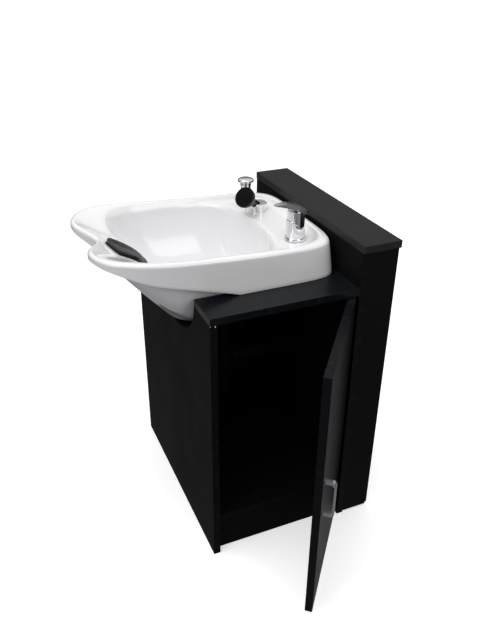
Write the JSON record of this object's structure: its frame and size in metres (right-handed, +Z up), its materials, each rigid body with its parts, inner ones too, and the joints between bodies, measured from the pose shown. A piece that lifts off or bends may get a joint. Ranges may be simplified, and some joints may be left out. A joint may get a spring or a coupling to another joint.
{
  "type": "shampoo backwash unit",
  "caption": "Salon backwash unit: ceramic wash bowl with a neck rest, mixer and hand spray on a black cabinet with a side door and a rear service column.",
  "frame": {"origin": "on the floor, under the middle of the tall board that the cabinet and the rear column share", "axes": "+Z up; -Y towards the client's neck, +Y towards the column and wall; +X towards the side with the door"},
  "size_m": [0.8964, 0.7115, 0.9255],
  "materials": {
    "melamine": "satin",
    "steel": "satin",
    "glaze": "gloss",
    "rubber": "satin",
    "chrome": "polished",
    "waste_plastic": "satin",
    "black_plastic": "gloss",
    "rose_plastic": "matte",
    "rose_rubber": "matte"
  },
  "bodies": {
    "cabinet": {"front_panel": "melamine", "far_side_panel": "melamine", "tall_back_panel": "melamine", "bottom_panel": "melamine", "plinth_rail_near": "melamine", "plinth_rail_far": "melamine", "shelf_top": "melamine", "cam_locks": "steel", "column_side_near": "melamine", "column_side_far": "melamine", "column_back_panel": "melamine", "column_cap": "melamine", "column_back_screws": "steel", "hinge_arms": "steel", "hinge_plates": "steel", "hinge_screws": "steel", "wash_bowl": "glaze", "neck_rest": "rubber", "waste_flange": "chrome", "waste_gasket": "rubber", "waste_backnut": "chrome", "trap_inlet_nut": "waste_plastic", "trap_body": "waste_plastic", "trap_cup": "waste_plastic", "trap_outlet_nut": "waste_plastic", "waste_pipe": "waste_plastic", "mixer_gasket": "rubber", "mixer_body": "chrome", "mixer_tails": "chrome", "mixer_stud": "steel", "mixer_washer": "steel", "mixer_nut": "steel", "spray_holder": "chrome", "holder_backnut": "chrome", "breaker_body": "chrome", "breaker_cap": "chrome", "breaker_backnut": "chrome"},
    "door": {"door_panel": "melamine", "door_handle": "steel", "door_handle_screws": "steel", "hinge_cups": "steel"},
    "mixer_head": {"mixer_dome": "chrome"},
    "mixer_handle": {"mixer_lever": "chrome"},
    "spray": {"spray_body": "black_plastic", "spray_face": "rose_plastic", "spray_nozzles": "rose_rubber"},
    "strainer": {"waste_strainer": "chrome"}
  },
  "joints": [
    {"name": "door_hinge", "type": "hinge", "parent": "cabinet", "child": "door", "pos_m": [0.307, -0.0175, 0.37], "axis": [0, 0, 1], "range_deg": [-51, 59]},
    {"name": "mixer_swivel", "type": "hinge", "parent": "cabinet", "child": "mixer_head", "pos_m": [0.128, -0.099, 0.87], "axis": [0, 0, 1], "range_deg": [-45, 45]},
    {"name": "mixer_lift", "type": "hinge", "parent": "mixer_head", "child": "mixer_handle", "pos_m": [0.128, -0.085, 0.8925], "axis": [-1, 0, 0], "range_deg": [0, 25]},
    {"name": "spray_lift", "type": "slide", "parent": "cabinet", "child": "spray", "axis": [0.4444, -0.7112, 0.5446], "range_m": [0, 0.08]},
    {"name": "strainer_lift", "type": "slide", "parent": "cabinet", "child": "strainer", "axis": [0, 0, 1], "range_m": [0, 0.05]}
  ]
}
